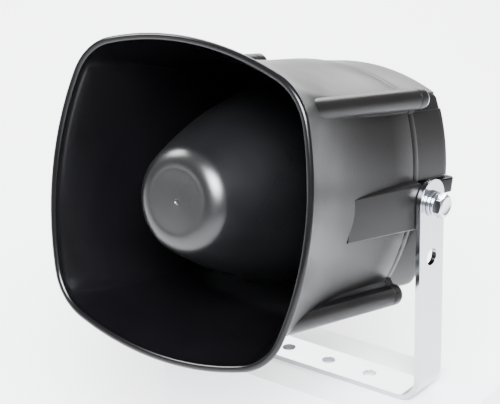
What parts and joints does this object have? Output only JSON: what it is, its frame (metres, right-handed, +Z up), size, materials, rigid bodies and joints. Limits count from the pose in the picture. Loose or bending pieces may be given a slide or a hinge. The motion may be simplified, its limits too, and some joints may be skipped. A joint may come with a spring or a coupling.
{
  "type": "horn loudspeaker",
  "caption": "Re-entrant horn loudspeaker with a rounded square flared mouth, a central reflector cone and a tilting U-shaped steel bracket",
  "frame": {"origin": "centre of the underside of the bracket base, midway between its arms", "axes": "+Z up, +X to the loudspeaker's left as it faces the listener at -Y, the mouth faces -Y and tips up"},
  "size_m": [0.139, 0.1755, 0.1928],
  "materials": {
    "bell_plastic": "satin black moulded plastic with a fine grain",
    "housing_plastic": "smooth black moulded plastic",
    "hood_plastic": "satin black moulded plastic",
    "nose_plastic": "semi-gloss black moulded plastic",
    "inner_plastic": "plain dark grey moulded plastic",
    "gland_plastic": "black nylon",
    "gasket_rubber": "matt black rubber",
    "diaphragm_resin": "resin-treated cloth, stiff",
    "coil_copper": "enamelled copper wire",
    "plated_iron": "zinc-plated soft iron",
    "ferrite": "dull dark grey ceramic ferrite",
    "bracket_steel": "bright plated steel strip",
    "terminal_plastic": "pale moulded plastic",
    "wire_black": "black insulation",
    "wire_red": "red insulation",
    "brass_fittings": "plain turned brass",
    "bolt_steel": "bright zinc plate",
    "screw_steel": "zinc plate"
  },
  "bodies": {
    "bracket_body": {"bracket": "bracket_steel"},
    "horn_body": {"clamp_ring": "inner_plastic", "corner_screw_lower_left": "screw_steel", "corner_screw_lower_right": "screw_steel", "corner_screw_upper_left": "screw_steel", "corner_screw_upper_right": "screw_steel", "corner_washer_lower_left": "screw_steel", "corner_washer_lower_right": "screw_steel", "corner_washer_upper_left": "screw_steel", "corner_washer_upper_right": "screw_steel", "driver_screw_1": "screw_steel", "driver_screw_2": "screw_steel", "driver_screw_3": "screw_steel", "driver_screw_4": "screw_steel", "gland_body": "gland_plastic", "gland_cap": "gland_plastic", "gland_nut": "gland_plastic", "gland_seal": "gasket_rubber", "hood": "hood_plastic", "hood_gasket": "gasket_rubber", "hood_screw_left": "screw_steel", "hood_screw_right": "screw_steel", "horn_bell": "bell_plastic", "lead_wire_left": "wire_black", "lead_wire_right": "wire_red", "magnet": "ferrite", "phase_plug": "inner_plastic", "pivot_bolt_left": "bolt_steel", "pivot_bolt_right": "bolt_steel", "pivot_insert_left": "brass_fittings", "pivot_insert_right": "brass_fittings", "pivot_spring_washer_left": "bolt_steel", "pivot_spring_washer_right": "bolt_steel", "pivot_washer_left": "bolt_steel", "pivot_washer_right": "bolt_steel", "pole_yoke": "plated_iron", "rear_housing": "housing_plastic", "reflector": "nose_plastic", "reflector_screw_1": "screw_steel", "reflector_screw_2": "screw_steel", "reflector_screw_3": "screw_steel", "seam_gasket": "gasket_rubber", "terminal_block": "terminal_plastic", "terminal_screw_left": "brass_fittings", "terminal_screw_right": "brass_fittings", "throat_gasket": "gasket_rubber", "throat_tube": "inner_plastic", "top_plate": "plated_iron"},
    "diaphragm_body": {"diaphragm": "diaphragm_resin", "voice_coil": "coil_copper"}
  },
  "joints": [
    {"name": "tilt", "type": "hinge", "parent": "bracket_body", "child": "horn_body", "pos_m": [0, 0, 0.0995], "axis": [1, 0, 0], "range_deg": [-77, 58]},
    {"name": "excursion", "type": "slide", "parent": "horn_body", "child": "diaphragm_body", "axis": [0, -0.974, 0.2266], "range_m": [-0.0004, 0.0004], "stiffness_N_per_m": 1500}
  ]
}
